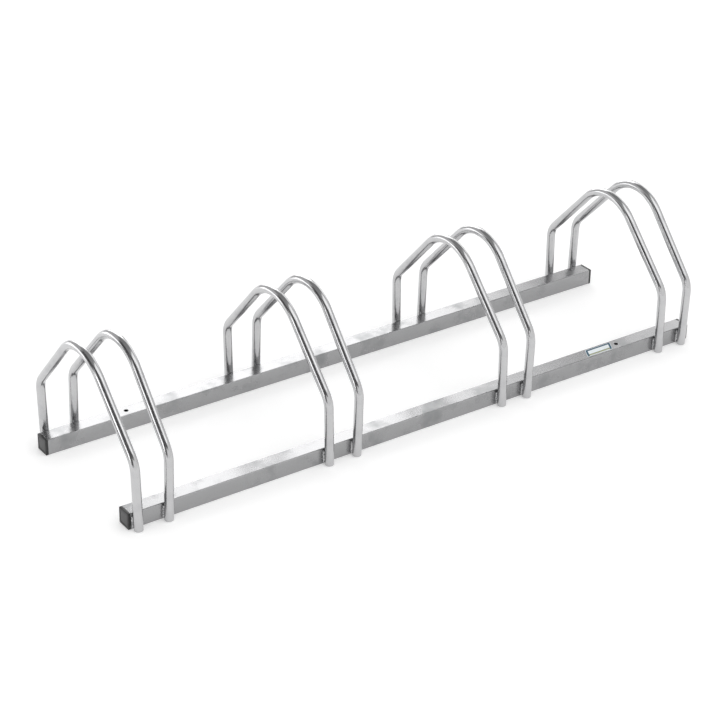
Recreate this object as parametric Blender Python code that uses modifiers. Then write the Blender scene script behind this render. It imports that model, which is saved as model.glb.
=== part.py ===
"""Floor rack for four bicycles, welded from zinc-plated steel tube.

Two square tube rails lie side by side on the floor. Eight arched hoops of round tube stand across
them in four pairs, and a wheel is pushed in between the two hoops of a pair. Each hoop's front leg is
welded to the front face of the front rail and its rear leg to the back face of the rear rail.
Plastic plugs close the rails' ends.

X runs along the rails, Y from the front to the back and Z up. The origin lies on the floor under the
middle of the rack. Units are metres.
"""

import math

import bmesh
import bpy
from mathutils import Vector

# Gap left between pieces that touch
TOUCH_GAP = 0.0003

# Rails
OVERALL_LENGTH = 1.204
DEPTH_OVER_RAILS = 0.306
RAIL_SIDE = 0.030
RAIL_WALL = 0.0015
RAIL_CORNER_RADIUS = 0.0025

# How much further right the front rail was welded on than the rear one
RAIL_STAGGER = 0.004

# Fixing hole through each rail, measured along the rail from its cap's face
FIXING_HOLE_DIAMETER = 0.008
FIXING_HOLE_TO_END = 0.164

# Hoops: heights of the corners that the bends round off
HOOP_TUBE_DIAMETER = 0.016
HOOP_TUBE_WALL = 0.0012
HOOP_SHOULDER_HEIGHT = 0.1235
HOOP_SHOULDER_RADIUS = 0.040
HOOP_PEAK_HEIGHT = 0.297
HOOP_PEAK_RADIUS = 0.081
HOOP_LEG_END_HEIGHT = 0.0006

# Placing of the hoops
PAIR_COUNT = 4
PAIR_SPACING = 0.057
PAIR_LEAN = math.radians(1.25)
OUTER_HOOP_TO_REAR_RAIL_END = 0.018

# End caps
CAP_FLANGE_THICKNESS = 0.0045
CAP_EDGE_RADIUS = 0.0012
CAP_PANEL_MARGIN = 0.0045
CAP_PANEL_CORNER_RADIUS = 0.0008
CAP_PANEL_DEPTH = 0.0004
CAP_PLUG_LENGTH = 0.014
CAP_PLUG_WALL = 0.002

# Weld beads in the grooves on both sides of each leg
BEAD_RADIUS = 0.0030
BEAD_STANDOFF = 0.0013
BEAD_END_MARGIN = 0.0035
BEAD_RIPPLES = 3
BEAD_VALLEY_SHARE = 0.9
BEAD_TIP_SHARE = 0.6

# Plain label beside the fixing hole on the front rail, with its ends slanted to the rail
LABEL_LENGTH = 0.059
LABEL_SLANT = math.radians(26.5)
LABEL_THICKNESS = 0.0004
LABEL_CORNER_RADIUS = 0.0015
LABEL_TO_RAIL_EDGE = 0.004
LABEL_TO_HOLE = 0.0415

# Facets
HOOP_BEVEL_RESOLUTION = 4
SHOULDER_ARC_STEPS = 5
PEAK_ARC_STEPS = 9
CORNER_SEGMENTS = 3
HOLE_SEGMENTS = 16
CAP_EDGE_SEGMENTS = 2
BEAD_SEGMENTS = 8
LEG_CUTTER_SEGMENTS = 32
SMOOTH_ANGLE = math.radians(35)
MERGE_DISTANCE = 0.00001

# Sizes that follow from those above
CAPPED_RAIL_LENGTH = OVERALL_LENGTH - RAIL_STAGGER
RAIL_LENGTH = CAPPED_RAIL_LENGTH - 2 * (CAP_FLANGE_THICKNESS + TOUCH_GAP)
FRONT_RAIL_X = RAIL_STAGGER / 2
REAR_RAIL_X = -RAIL_STAGGER / 2
RAIL_AXIS_Y = (DEPTH_OVER_RAILS - RAIL_SIDE) / 2
RAIL_AXIS_Z = RAIL_SIDE / 2
LEG_AXIS_TO_RAIL = HOOP_TUBE_DIAMETER / 2 + TOUCH_GAP
LEG_AXIS_Y = DEPTH_OVER_RAILS / 2 + LEG_AXIS_TO_RAIL
OUTER_PAIR_X = CAPPED_RAIL_LENGTH / 2 - OUTER_HOOP_TO_REAR_RAIL_END - PAIR_SPACING / 2
PAIR_PITCH = 2 * OUTER_PAIR_X / (PAIR_COUNT - 1)
FIXING_HOLE_TO_MIDDLE = CAPPED_RAIL_LENGTH / 2 - FIXING_HOLE_TO_END
LABEL_X = FRONT_RAIL_X + FIXING_HOLE_TO_MIDDLE - LABEL_TO_HOLE
CAP_PLUG_SIDE = RAIL_SIDE - 2 * (RAIL_WALL + TOUCH_GAP)

# Colours as linear values
ZINC = (0.72, 0.73, 0.75, 1.0)
WELD_GREY = (0.60, 0.61, 0.63, 1.0)
BLACK_PLASTIC = (0.025, 0.025, 0.027, 1.0)
LABEL_WHITE = (0.75, 0.80, 0.82, 1.0)


def clear_scene():
    """Remove every object that the file starts with."""
    for thing in list(bpy.data.objects):
        bpy.data.objects.remove(thing, do_unlink=True)


def new_collection(name):
    """Add a collection to the scene."""
    collection = bpy.data.collections.new(name)
    bpy.context.scene.collection.children.link(collection)
    return collection


def new_material(name, colour, roughness, metallic):
    """Make a Principled material."""
    material = bpy.data.materials.new(name)
    material.use_nodes = True
    shader = material.node_tree.nodes["Principled BSDF"]
    shader.inputs["Base Color"].default_value = colour
    shader.inputs["Roughness"].default_value = roughness
    shader.inputs["Metallic"].default_value = metallic
    material.diffuse_color = colour
    return material


def place(name, data, collection, material=None, parent=None, location=(0, 0, 0), rotation=(0, 0, 0)):
    """Put a mesh, a curve or an empty into a collection."""
    thing = bpy.data.objects.new(name, data)
    collection.objects.link(thing)
    thing.parent = parent
    thing.location = location
    thing.rotation_euler = rotation
    if material is not None and not data.materials:
        data.materials.append(material)
    return thing


def mesh_from(name, bm):
    """Turn a bmesh into a mesh that is smooth between gentle facets."""
    mesh = bpy.data.meshes.new(name)
    bm.to_mesh(mesh)
    bm.free()
    mesh.shade_smooth()
    mesh.set_sharp_from_angle(angle=SMOOTH_ANGLE)
    return mesh


def box(size, centre=(0, 0, 0)):
    """Start a bmesh with a box of the given size."""
    bm = bmesh.new()
    bmesh.ops.create_cube(bm, size=1)
    bmesh.ops.scale(bm, vec=size, verts=bm.verts)
    bmesh.ops.translate(bm, vec=centre, verts=bm.verts)
    return bm


def edges_along(bm, axis):
    """List the straight edges that run along one axis (0, 1 or 2)."""
    found = []
    for edge in bm.edges:
        run = edge.verts[1].co - edge.verts[0].co
        if abs(run[axis]) > 0.999 * run.length:
            found.append(edge)
    return found


def round_edges(bm, edges, radius, segments=CORNER_SEGMENTS):
    """Round the listed edges."""
    bmesh.ops.bevel(bm, geom=edges, offset=radius, segments=segments, profile=0.5, affect="EDGES")


def end_face(bm, axis, side):
    """Find the face that points along one axis, to the + or - side."""
    return max(bm.faces, key=lambda face: (side * face.normal[axis] > 0.99, face.calc_area()))


def add_cutter(name, bm, collection):
    """Make a hidden mesh that a Boolean modifier takes away."""
    cutter = place(name, mesh_from(name, bm), collection)
    cutter.hide_render = True
    cutter.display_type = "WIRE"
    return cutter


def cut(thing, cutter):
    """Take a cutter away from an object."""
    modifier = thing.modifiers.new(cutter.name, "BOOLEAN")
    modifier.operation = "DIFFERENCE"
    modifier.object = cutter
    modifier.solver = "EXACT"


def finished_mesh(thing, name):
    """Apply an object's modifiers, remove the object and keep its mesh."""
    bpy.context.view_layer.update()
    depsgraph = bpy.context.evaluated_depsgraph_get()
    mesh = bpy.data.meshes.new_from_object(thing.evaluated_get(depsgraph))
    mesh.name = name
    mesh.shade_smooth()
    mesh.set_sharp_from_angle(angle=SMOOTH_ANGLE)
    bpy.data.objects.remove(thing, do_unlink=True)
    return mesh


def rounded_corner(before, corner, after, radius, steps):
    """Points of the arc that rounds off a corner between two straight runs."""
    to_before = (before - corner).normalized()
    to_after = (after - corner).normalized()
    half_angle = to_before.angle(to_after) / 2
    centre = corner + (to_before + to_after).normalized() * radius / math.sin(half_angle)
    start = (corner + to_before * radius / math.tan(half_angle) - centre).normalized()
    end = (corner + to_after * radius / math.tan(half_angle) - centre).normalized()
    return [centre + radius * start.slerp(end, step / steps) for step in range(steps + 1)]


def hoop_line():
    """Centre line of a hoop in its own plane, from the front leg's end over the top to the rear one's.

    The line's origin is level with the rails' axes. Its corners are the two shoulders, above the legs,
    and the peak, and each is rounded off.
    """
    leg_end = HOOP_LEG_END_HEIGHT - RAIL_AXIS_Z
    shoulder = HOOP_SHOULDER_HEIGHT - RAIL_AXIS_Z
    front_end = Vector((0, -LEG_AXIS_Y, leg_end))
    front_shoulder = Vector((0, -LEG_AXIS_Y, shoulder))
    peak = Vector((0, 0, HOOP_PEAK_HEIGHT - RAIL_AXIS_Z))
    rear_shoulder = Vector((0, LEG_AXIS_Y, shoulder))
    rear_end = Vector((0, LEG_AXIS_Y, leg_end))
    points = [front_end]
    points += rounded_corner(front_end, front_shoulder, peak, HOOP_SHOULDER_RADIUS, SHOULDER_ARC_STEPS)
    points += rounded_corner(front_shoulder, peak, rear_shoulder, HOOP_PEAK_RADIUS, PEAK_ARC_STEPS)
    points += rounded_corner(peak, rear_shoulder, rear_end, HOOP_SHOULDER_RADIUS, SHOULDER_ARC_STEPS)
    points.append(rear_end)
    return points


def hoop_curve():
    """Bent tube of a hoop as a bevelled curve, open at its ends."""
    curve = bpy.data.curves.new("hoop", "CURVE")
    curve.dimensions = "3D"
    curve.bevel_depth = HOOP_TUBE_DIAMETER / 2
    curve.bevel_resolution = HOOP_BEVEL_RESOLUTION
    spline = curve.splines.new("POLY")
    points = hoop_line()
    spline.points.add(len(points) - 1)
    for target, point in zip(spline.points, points):
        target.co = (*point, 1)
    return curve


def add_wall(thing, thickness):
    """Give an open tube its wall, inwards from its outer surface."""
    modifier = thing.modifiers.new("wall", "SOLIDIFY")
    modifier.thickness = thickness
    modifier.offset = -1
    modifier.use_even_offset = True


def rail_mesh(cutters):
    """Square tube with rounded corners, its own centre at the origin, with the fixing hole at +X."""
    bm = box((RAIL_LENGTH, RAIL_SIDE, RAIL_SIDE))
    ends = [end_face(bm, 0, side) for side in (-1, 1)]
    bmesh.ops.delete(bm, geom=ends, context="FACES_ONLY")
    round_edges(bm, edges_along(bm, 0), RAIL_CORNER_RADIUS)
    rail = place("rail", mesh_from("rail", bm), cutters)
    add_wall(rail, RAIL_WALL)
    bm = bmesh.new()
    bmesh.ops.create_cone(
        bm,
        cap_ends=True,
        segments=HOLE_SEGMENTS,
        radius1=FIXING_HOLE_DIAMETER / 2,
        radius2=FIXING_HOLE_DIAMETER / 2,
        depth=2 * RAIL_SIDE,
    )
    bmesh.ops.translate(bm, vec=(FIXING_HOLE_TO_MIDDLE, 0, 0), verts=bm.verts)
    cut(rail, add_cutter("fixing_hole_cutter", bm, cutters))
    return finished_mesh(rail, "rail")


def end_cap_mesh(cutters):
    """Plug for a rail's right end: its flange's inner face lies in the plane X = 0."""
    bm = box((CAP_FLANGE_THICKNESS, RAIL_SIDE, RAIL_SIDE), (CAP_FLANGE_THICKNESS / 2, 0, 0))
    round_edges(bm, edges_along(bm, 0), RAIL_CORNER_RADIUS)
    round_edges(bm, list(end_face(bm, 0, 1).edges), CAP_EDGE_RADIUS, CAP_EDGE_SEGMENTS)
    flange_rim = (RAIL_SIDE - CAP_PLUG_SIDE) / 2
    bmesh.ops.inset_region(bm, faces=[end_face(bm, 0, -1)], thickness=flange_rim, use_even_offset=True)
    plug = bmesh.ops.extrude_discrete_faces(bm, faces=[end_face(bm, 0, -1)])["faces"][0]
    bmesh.ops.translate(bm, vec=(-CAP_PLUG_LENGTH, 0, 0), verts=plug.verts)
    cap = place("end_cap", mesh_from("end_cap", bm), cutters)
    panel_side = RAIL_SIDE - 2 * CAP_PANEL_MARGIN
    panel = box((2 * CAP_PANEL_DEPTH, panel_side, panel_side), (CAP_FLANGE_THICKNESS, 0, 0))
    round_edges(panel, edges_along(panel, 0), CAP_PANEL_CORNER_RADIUS)
    cut(cap, add_cutter("cap_panel_cutter", panel, cutters))
    pocket_side = CAP_PLUG_SIDE - 2 * CAP_PLUG_WALL
    pocket = box((2 * CAP_PLUG_LENGTH, pocket_side, pocket_side), (-CAP_PLUG_LENGTH, 0, 0))
    cut(cap, add_cutter("plug_pocket_cutter", pocket, cutters))
    return finished_mesh(cap, "end_cap")


def bead_profile():
    """Half outline of a weld bead as distances from its axis and heights, from its top to its bottom."""
    half_length = RAIL_SIDE / 2 - BEAD_END_MARGIN
    ring_count = 2 * BEAD_RIPPLES + 1
    outline = [(0.0, half_length)]
    for ring in range(ring_count):
        share = BEAD_VALLEY_SHARE if ring % 2 == 0 else 1.0
        if ring in (0, ring_count - 1):
            share = BEAD_TIP_SHARE
        height = half_length * (1 - 2 * (ring + 0.5) / ring_count)
        outline.append((BEAD_RADIUS * share, height))
    outline.append((0.0, -half_length))
    return outline


def bead_mesh(cutters):
    """Bead in the groove at +X of a leg, with the origin on the leg's axis and the rail on the +Y side.

    A bead's axis is as far from the rail's face as from the cylinder that cuts it to fit the leg, so
    the bead lies evenly in the groove between them.
    """
    bead_y = LEG_AXIS_TO_RAIL - BEAD_STANDOFF
    bead_x = 2 * math.sqrt(LEG_AXIS_TO_RAIL * BEAD_STANDOFF)
    bm = bmesh.new()
    outline = [bm.verts.new((distance, 0, height)) for distance, height in bead_profile()]
    edges = [bm.edges.new(ends) for ends in zip(outline, outline[1:])]
    bmesh.ops.spin(
        bm, geom=outline + edges, angle=2 * math.pi, steps=BEAD_SEGMENTS, axis=(0, 0, 1), cent=(0, 0, 0)
    )
    bmesh.ops.remove_doubles(bm, verts=bm.verts, dist=MERGE_DISTANCE)
    bmesh.ops.recalc_face_normals(bm, faces=bm.faces)
    bmesh.ops.translate(bm, vec=(bead_x, bead_y, 0), verts=bm.verts)
    bead = place("weld_bead", mesh_from("weld_bead", bm), cutters)

    leg = bmesh.new()
    bmesh.ops.create_cone(
        leg,
        cap_ends=True,
        segments=LEG_CUTTER_SEGMENTS,
        radius1=LEG_AXIS_TO_RAIL,
        radius2=LEG_AXIS_TO_RAIL,
        depth=2 * RAIL_SIDE,
    )
    cut(bead, add_cutter("bead_leg_cutter", leg, cutters))
    rail_face_y = LEG_AXIS_TO_RAIL - TOUCH_GAP
    rail = box((4 * RAIL_SIDE, RAIL_SIDE, 2 * RAIL_SIDE), (0, rail_face_y + RAIL_SIDE / 2, 0))
    cut(bead, add_cutter("bead_rail_cutter", rail, cutters))
    return finished_mesh(bead, "weld_bead")


def label_mesh():
    """Thin plate with slanted ends and rounded corners."""
    bm = box((LABEL_LENGTH, RAIL_SIDE - 2 * LABEL_TO_RAIL_EDGE, LABEL_THICKNESS))
    for vert in bm.verts:
        vert.co.x += vert.co.y * math.tan(LABEL_SLANT)
    bm.normal_update()
    round_edges(bm, edges_along(bm, 2), LABEL_CORNER_RADIUS)
    return mesh_from("blank_label", bm)


def build_rails(parts, cutters, finish):
    """Place both rails. The rear one is turned half a turn, so its hole lies at the other end."""
    mesh = rail_mesh(cutters)
    front = (FRONT_RAIL_X, -RAIL_AXIS_Y, RAIL_AXIS_Z)
    rear = (REAR_RAIL_X, RAIL_AXIS_Y, RAIL_AXIS_Z)
    place("front_rail", mesh, parts, finish, location=front)
    place("rear_rail", mesh, parts, finish, location=rear, rotation=(0, 0, math.pi))


def build_end_caps(parts, cutters, finish):
    """Place a cap on each end of both rails."""
    mesh = end_cap_mesh(cutters)
    for row, middle, y in (("front", FRONT_RAIL_X, -RAIL_AXIS_Y), ("rear", REAR_RAIL_X, RAIL_AXIS_Y)):
        for side, sign, turn in (("left", -1, math.pi), ("right", 1, 0.0)):
            x = middle + sign * (RAIL_LENGTH / 2 + TOUCH_GAP)
            name = f"end_cap_{row}_{side}"
            place(name, mesh, parts, finish, location=(x, y, RAIL_AXIS_Z), rotation=(0, 0, turn))


def place_beads(hoop, number, mesh, parts, finish):
    """Place the four beads of a hoop: one in each groove beside its front leg and its rear leg.

    A half turn about the leg's axis takes the bead of a front leg's right side to a rear leg's left
    side, and a half turn about the rail's direction takes it to a rear leg's right side.
    """
    front = (0, -LEG_AXIS_Y, 0)
    rear = (0, LEG_AXIS_Y, 0)
    place(f"weld_{number}_front_right", mesh, parts, finish, hoop, front)
    place(f"weld_{number}_front_left", mesh, parts, finish, hoop, front, (0, math.pi, 0))
    place(f"weld_{number}_rear_left", mesh, parts, finish, hoop, rear, (0, 0, math.pi))
    place(f"weld_{number}_rear_right", mesh, parts, finish, hoop, rear, (math.pi, 0, 0))


def build_hoops(parts, cutters, tube_finish, weld_finish):
    """Place the pairs of hoops, which lean a little away from each other, and their welds.

    The row of hoops is centred on the rear rail.
    """
    curve = hoop_curve()
    bead = bead_mesh(cutters)
    for pair in range(PAIR_COUNT):
        pair_x = REAR_RAIL_X + pair * PAIR_PITCH - OUTER_PAIR_X
        middle = place(f"pair_{pair + 1}", None, parts, location=(pair_x, 0, RAIL_AXIS_Z))
        for member, side in enumerate((-1, 1)):
            number = 2 * pair + member + 1
            location = (side * PAIR_SPACING / 2, 0, 0)
            lean = (0, side * PAIR_LEAN, 0)
            hoop = place(f"hoop_{number}", curve, parts, tube_finish, middle, location, lean)
            add_wall(hoop, HOOP_TUBE_WALL)
            place_beads(hoop, number, bead, parts, weld_finish)


def build_label(parts, finish):
    """Place the plain label on the front rail's top face."""
    z = RAIL_SIDE + TOUCH_GAP + LABEL_THICKNESS / 2
    place("blank_label", label_mesh(), parts, finish, location=(LABEL_X, -RAIL_AXIS_Y, z))


def main():
    """Build the rack."""
    clear_scene()
    parts = new_collection("bicycle_rack")
    cutters = new_collection("cutters")
    build_rails(parts, cutters, new_material("rail_zinc_plated_steel", ZINC, 0.32, 1.0))
    build_end_caps(parts, cutters, new_material("cap_black_plastic", BLACK_PLASTIC, 0.5, 0.0))
    tube_finish = new_material("hoop_zinc_plated_steel", ZINC, 0.25, 1.0)
    weld_finish = new_material("weld_zinc_plated_steel", WELD_GREY, 0.4, 1.0)
    build_hoops(parts, cutters, tube_finish, weld_finish)
    build_label(parts, new_material("label_film", LABEL_WHITE, 0.35, 0.0))


main()
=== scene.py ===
"""A floor rack for four bicycles in a plain white studio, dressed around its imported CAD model.

The rack is welded from steel tube and then zinc plated. Two square rails lie on the floor, and eight
bent hoops stand across them in four pairs. Black caps close the rails' ends, and a plain sticker lies
on the front rail. Every piece is a surface worked out with numpy where the CAD node of the same part
lies. X runs along the rails, Y from the front to the back and Z up, in metres.
"""

import logging
import math
from dataclasses import dataclass
from enum import Enum

import bmesh
import bpy
import numpy as np
from mathutils import Euler, Matrix, Vector


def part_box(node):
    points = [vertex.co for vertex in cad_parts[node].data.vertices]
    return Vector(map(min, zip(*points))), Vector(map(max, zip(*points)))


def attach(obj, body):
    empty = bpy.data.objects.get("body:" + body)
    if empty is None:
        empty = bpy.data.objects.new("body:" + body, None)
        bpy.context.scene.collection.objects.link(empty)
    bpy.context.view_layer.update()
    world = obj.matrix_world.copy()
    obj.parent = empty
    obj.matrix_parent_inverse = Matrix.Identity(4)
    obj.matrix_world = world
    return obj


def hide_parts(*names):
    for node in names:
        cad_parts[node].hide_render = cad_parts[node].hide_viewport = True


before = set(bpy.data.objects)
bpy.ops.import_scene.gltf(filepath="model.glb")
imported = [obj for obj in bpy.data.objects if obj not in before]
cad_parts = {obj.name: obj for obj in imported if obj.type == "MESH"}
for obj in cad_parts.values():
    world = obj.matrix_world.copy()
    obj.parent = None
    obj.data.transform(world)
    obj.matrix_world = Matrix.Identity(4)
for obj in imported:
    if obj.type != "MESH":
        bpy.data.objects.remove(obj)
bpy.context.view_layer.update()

log = logging.getLogger("bicycle_rack")

MM = 0.001
BODY = "root"
PHOTO_SIDE = 720
SMOOTH_ANGLE = math.radians(35)
MERGE_STEP = 1e-7
NEARLY_LEVEL = 1e-6
CORNER_STEPS = 6
FOLLOW = "along_the_tube"


class Place(Enum):
    """A place on the rack. Its value is the sign of the place's X or Y."""

    @property
    def word(self) -> str:
        """The word that the CAD nodes' names use."""
        return self.name.lower()


class Row(Place):
    """The two rails, with the sign of their Y."""

    FRONT = -1
    REAR = 1


class Side(Place):
    """Left and right as seen from the front, with the sign of their X."""

    LEFT = -1
    RIGHT = 1


class Fade(Enum):
    """How a value changes across a patch's edge, with the shader's own word for it."""

    EVEN = "LINEAR"
    SOFT = "SMOOTHSTEP"


@dataclass(frozen=True)
class NodeBox:
    """Lowest and highest corner of a CAD node."""

    low: np.ndarray
    high: np.ndarray

    @classmethod
    def of(cls, node: str) -> "NodeBox":
        """Read a node's box from the frame."""
        low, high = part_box(node)
        return cls(np.array(low), np.array(high))

    @property
    def centre(self) -> np.ndarray:
        """Middle of the box."""
        return (self.low + self.high) / 2

    @property
    def size(self) -> np.ndarray:
        """Length of the box along X, Y and Z."""
        return self.high - self.low


@dataclass
class Surface:
    """Points and the four-sided faces between them. A face with a doubled point is three-sided.

    Attributes:
        points: one row of X, Y and Z for each point.
        quads: four point numbers for each face.
        follow: one vector for each point, for a pattern that follows the surface, or None.
    """

    points: np.ndarray
    quads: np.ndarray
    follow: np.ndarray | None = None

    @classmethod
    def grid(
        cls,
        points: np.ndarray,
        closed_rows: bool,
        closed_columns: bool,
        skip: np.ndarray | None = None,
        follow: np.ndarray | None = None,
    ) -> "Surface":
        """Span faces over a grid: the face at row i and column j joins it to row i + 1 and column j + 1.

        Args:
            points: array of rows x columns x 3.
            closed_rows: whether the last row joins the first.
            closed_columns: whether the last column joins the first.
            skip: truth table of the faces to leave out.
            follow: array of rows x columns x 3 that goes with the points.

        Returns:
            The surface.
        """
        rows, columns = points.shape[:2]
        row, column = np.meshgrid(
            np.arange(rows if closed_rows else rows - 1),
            np.arange(columns if closed_columns else columns - 1),
            indexing="ij",
        )
        next_row = (row + 1) % rows
        next_column = (column + 1) % columns
        corners = [
            row * columns + column,
            row * columns + next_column,
            next_row * columns + next_column,
            next_row * columns + column,
        ]
        quads = np.stack(corners, axis=-1)
        quads = quads.reshape(-1, 4) if skip is None else quads[~skip]
        flat_follow = None if follow is None else follow.reshape(-1, 3)
        return cls(points.reshape(-1, 3), quads, flat_follow)

    def joined(self, other: "Surface") -> "Surface":
        """Put another surface's faces beside this one's."""
        points = np.concatenate([self.points, other.points])
        return Surface(points, np.concatenate([self.quads, other.quads + len(self.points)]))

    def merged(self) -> "Surface":
        """Make one point of all that coincide, which closes seams and poles.

        Returns:
            The merged surface.
        """
        keys = np.round(self.points / MERGE_STEP).astype(np.int64)
        _, first, number = np.unique(keys, axis=0, return_index=True, return_inverse=True)
        follow = None if self.follow is None else self.follow[first]
        return Surface(self.points[first], number.reshape(-1)[self.quads], follow)

    def mesh(self, name: str) -> bpy.types.Mesh:
        """Make a smooth Blender mesh whose faces point outwards.

        Args:
            name: name of the mesh.

        Returns:
            The mesh, with the follow vectors as a point attribute if there are any.
        """
        whole = self.merged()
        kept = whole.quads != np.roll(whole.quads, 1, axis=1)
        sides = kept.sum(axis=1)
        kept[sides < 3] = False
        sides = sides[sides >= 3]
        corners = whole.quads[kept]
        mesh = bpy.data.meshes.new(name)
        mesh.vertices.add(len(whole.points))
        mesh.vertices.foreach_set("co", whole.points.astype(np.float32).ravel())
        mesh.loops.add(len(corners))
        mesh.loops.foreach_set("vertex_index", corners.astype(np.int32))
        mesh.polygons.add(len(sides))
        mesh.polygons.foreach_set("loop_start", (np.cumsum(sides) - sides).astype(np.int32))
        mesh.update(calc_edges=True)
        mesh.validate()
        turned = bmesh.new()
        turned.from_mesh(mesh)
        bmesh.ops.recalc_face_normals(turned, faces=turned.faces)
        turned.to_mesh(mesh)
        turned.free()
        mesh.shade_smooth()
        mesh.set_sharp_from_angle(angle=SMOOTH_ANGLE)
        if whole.follow is not None:
            attribute = mesh.attributes.new(FOLLOW, "FLOAT_VECTOR", "POINT")
            attribute.data.foreach_set("vector", whole.follow.astype(np.float32).ravel())
        return mesh


def add_piece(name: str, surface: Surface, node: str, material: bpy.types.Material) -> None:
    """Put a surface into the scene in the place of a CAD node.

    Args:
        name: name of the piece.
        surface: its shape, at its place in the rack's frame.
        node: the CAD node that it stands for.
        material: its finish.
    """
    mesh = surface.mesh(name)
    mesh.materials.append(material)
    piece = bpy.data.objects.new(name, mesh)
    bpy.context.scene.collection.objects.link(piece)
    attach(piece, BODY)
    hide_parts(node)
    log.info("%s: %d faces, stands for %s", name, len(mesh.polygons), node)


@dataclass(frozen=True)
class PipeWall:
    """Lengthwise section of a pipe's wall, as a closed loop of depths under the outer surface.

    The loop runs along the outer surface, round the far rim, back along the bore and round the near
    rim. Quarter circles round off its four corners.

    Attributes:
        stations: places along the pipe at which both surfaces have points, from rim to rim.
        wall: thickness of the wall.
        edge: radius of the rims' edges.
        steps: number of steps round an edge.
    """

    stations: np.ndarray
    wall: float
    edge: float
    steps: int = 3

    @property
    def bore_row(self) -> int:
        """Row of the loop at which the bore starts, at its far end."""
        return len(self.stations) + 2 * self.steps

    def loop(self) -> tuple[np.ndarray, np.ndarray]:
        """Work out the loop from a quarter circle's sine and cosine.

        Returns:
            The places along the pipe, and the depths under its outer surface.
        """
        turn = np.linspace(0, np.pi / 2, self.steps + 1)
        sine = self.edge * np.sin(turn)
        cosine = self.edge * np.cos(turn)
        near, far = self.stations[0], self.stations[-1]
        bore = self.wall - self.edge
        along = [
            self.stations,
            far + sine[1:],
            far + cosine[:-1],
            self.stations[::-1],
            near - sine[1:],
            near - cosine[:-1],
        ]
        depth = [
            np.zeros(len(self.stations)),
            self.edge - cosine[1:],
            bore + sine[:-1],
            np.full(len(self.stations), self.wall),
            bore + cosine[1:],
            self.edge - sine[:-1],
        ]
        return np.concatenate(along), np.concatenate(depth)


@dataclass(frozen=True)
class RoundedRing:
    """Ring of points round a square or rectangle with rounded corners.

    A point is core times (half side less corner radius) plus normal times corner radius. On a flat the
    core runs from corner to corner and the normal stays; round a corner the core stays and the normal
    turns. The ring starts on the flat at the first axis's high side.

    Attributes:
        marks: places on a flat between its corners, from -1 to 1 and rising.
        turns: number of steps round a corner.
    """

    marks: np.ndarray
    turns: int

    @property
    def quarter(self) -> int:
        """Number of points of a flat with the corner after it."""
        return len(self.marks) + self.turns + 1

    def first_cell(self, flat: int) -> int:
        """Column of a flat's first face, for flats 1 to 3."""
        return flat * self.quarter - 1

    def spread(self) -> tuple[np.ndarray, np.ndarray]:
        """Work out the first quarter and turn it three times by a right angle.

        Returns:
            The cores and the normals, one row for each point.
        """
        angle = np.linspace(0, np.pi / 2, self.turns + 1)
        flat_core = np.stack([np.ones(len(self.marks)), self.marks], axis=1)
        flat_normal = np.tile([1.0, 0.0], (len(self.marks), 1))
        core = np.concatenate([flat_core, np.ones((self.turns + 1, 2))])
        normal = np.concatenate([flat_normal, np.stack([np.cos(angle), np.sin(angle)], axis=1)])
        quarter_turn = np.array([[0.0, 1.0], [-1.0, 0.0]])
        turned = [np.linalg.matrix_power(quarter_turn, times) for times in range(4)]
        return (
            np.concatenate([core @ turn for turn in turned]),
            np.concatenate([normal @ turn for turn in turned]),
        )

    def at(self, half: np.ndarray, radius: np.ndarray) -> np.ndarray:
        """Work out one ring for each half side and corner radius.

        Args:
            half: half sides, one row of two for each ring.
            radius: corner radii, one for each ring.

        Returns:
            Array of rings x points x 2.
        """
        core, normal = self.spread()
        reach = (half - radius[:, None])[:, None, :]
        return core[None] * reach + normal[None] * radius[:, None, None]


def linear(code: str) -> tuple[float, float, float, float]:
    """Turn an sRGB hex code into a linear colour.

    Args:
        code: six hex digits after a #.

    Returns:
        Red, green, blue and an alpha of 1.
    """
    values = [int(code[place : place + 2], 16) / 255 for place in (1, 3, 5)]
    red, green, blue = [v / 12.92 if v <= 0.04045 else ((v + 0.055) / 1.055) ** 2.4 for v in values]
    return red, green, blue, 1.0


def add_node(
    tree: bpy.types.NodeTree, kind: str, inputs: dict | None = None, **settings: object
) -> bpy.types.Node:
    """Add a node to a tree.

    Args:
        tree: the node tree.
        kind: the node's type, without the word ShaderNode that it starts with.
        inputs: for each input's name or number its value, or the socket or node that it comes from.
            Of a node, the first output in use is taken.
        settings: the node's own properties.

    Returns:
        The node.
    """
    node = tree.nodes.new(f"ShaderNode{kind}")
    for name, value in settings.items():
        setattr(node, name, value)
    for key, value in (inputs or {}).items():
        if isinstance(value, bpy.types.Node):
            value = next(output for output in value.outputs if output.enabled)
        if isinstance(value, bpy.types.NodeSocket):
            tree.links.new(value, node.inputs[key])
        else:
            node.inputs[key].default_value = value
    return node


def new_tree(name: str) -> tuple[bpy.types.Material, bpy.types.NodeTree]:
    """Make a material with an empty node tree.

    Args:
        name: name of the material.

    Returns:
        The material and its node tree.
    """
    material = bpy.data.materials.new(name)
    material.use_nodes = True
    material.node_tree.nodes.clear()
    return material, material.node_tree


def paint_patches(
    tree: bpy.types.NodeTree,
    noise: bpy.types.Node,
    edge: tuple[float, float],
    colours: tuple[str, str],
    fade: Fade = Fade.SOFT,
) -> tuple[bpy.types.Node, bpy.types.Node]:
    """Paint patches over a colour where a noise is high.

    Args:
        tree: the node tree.
        noise: the noise.
        edge: the noise's values at a patch's outer and inner edge.
        colours: the colour between the patches, and the patches' own.
        fade: how the colour changes across a patch's edge.

    Returns:
        The share of the patches' colour, and the painted colour.
    """
    levels = {"Value": noise, "From Min": edge[0], "From Max": edge[1]}
    share = add_node(tree, "MapRange", levels, interpolation_type=fade.value)
    between, patch = map(linear, colours)
    painted = add_node(tree, "Mix", {"Factor": share, 6: between, 7: patch}, data_type="RGBA")
    return share, painted


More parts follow.
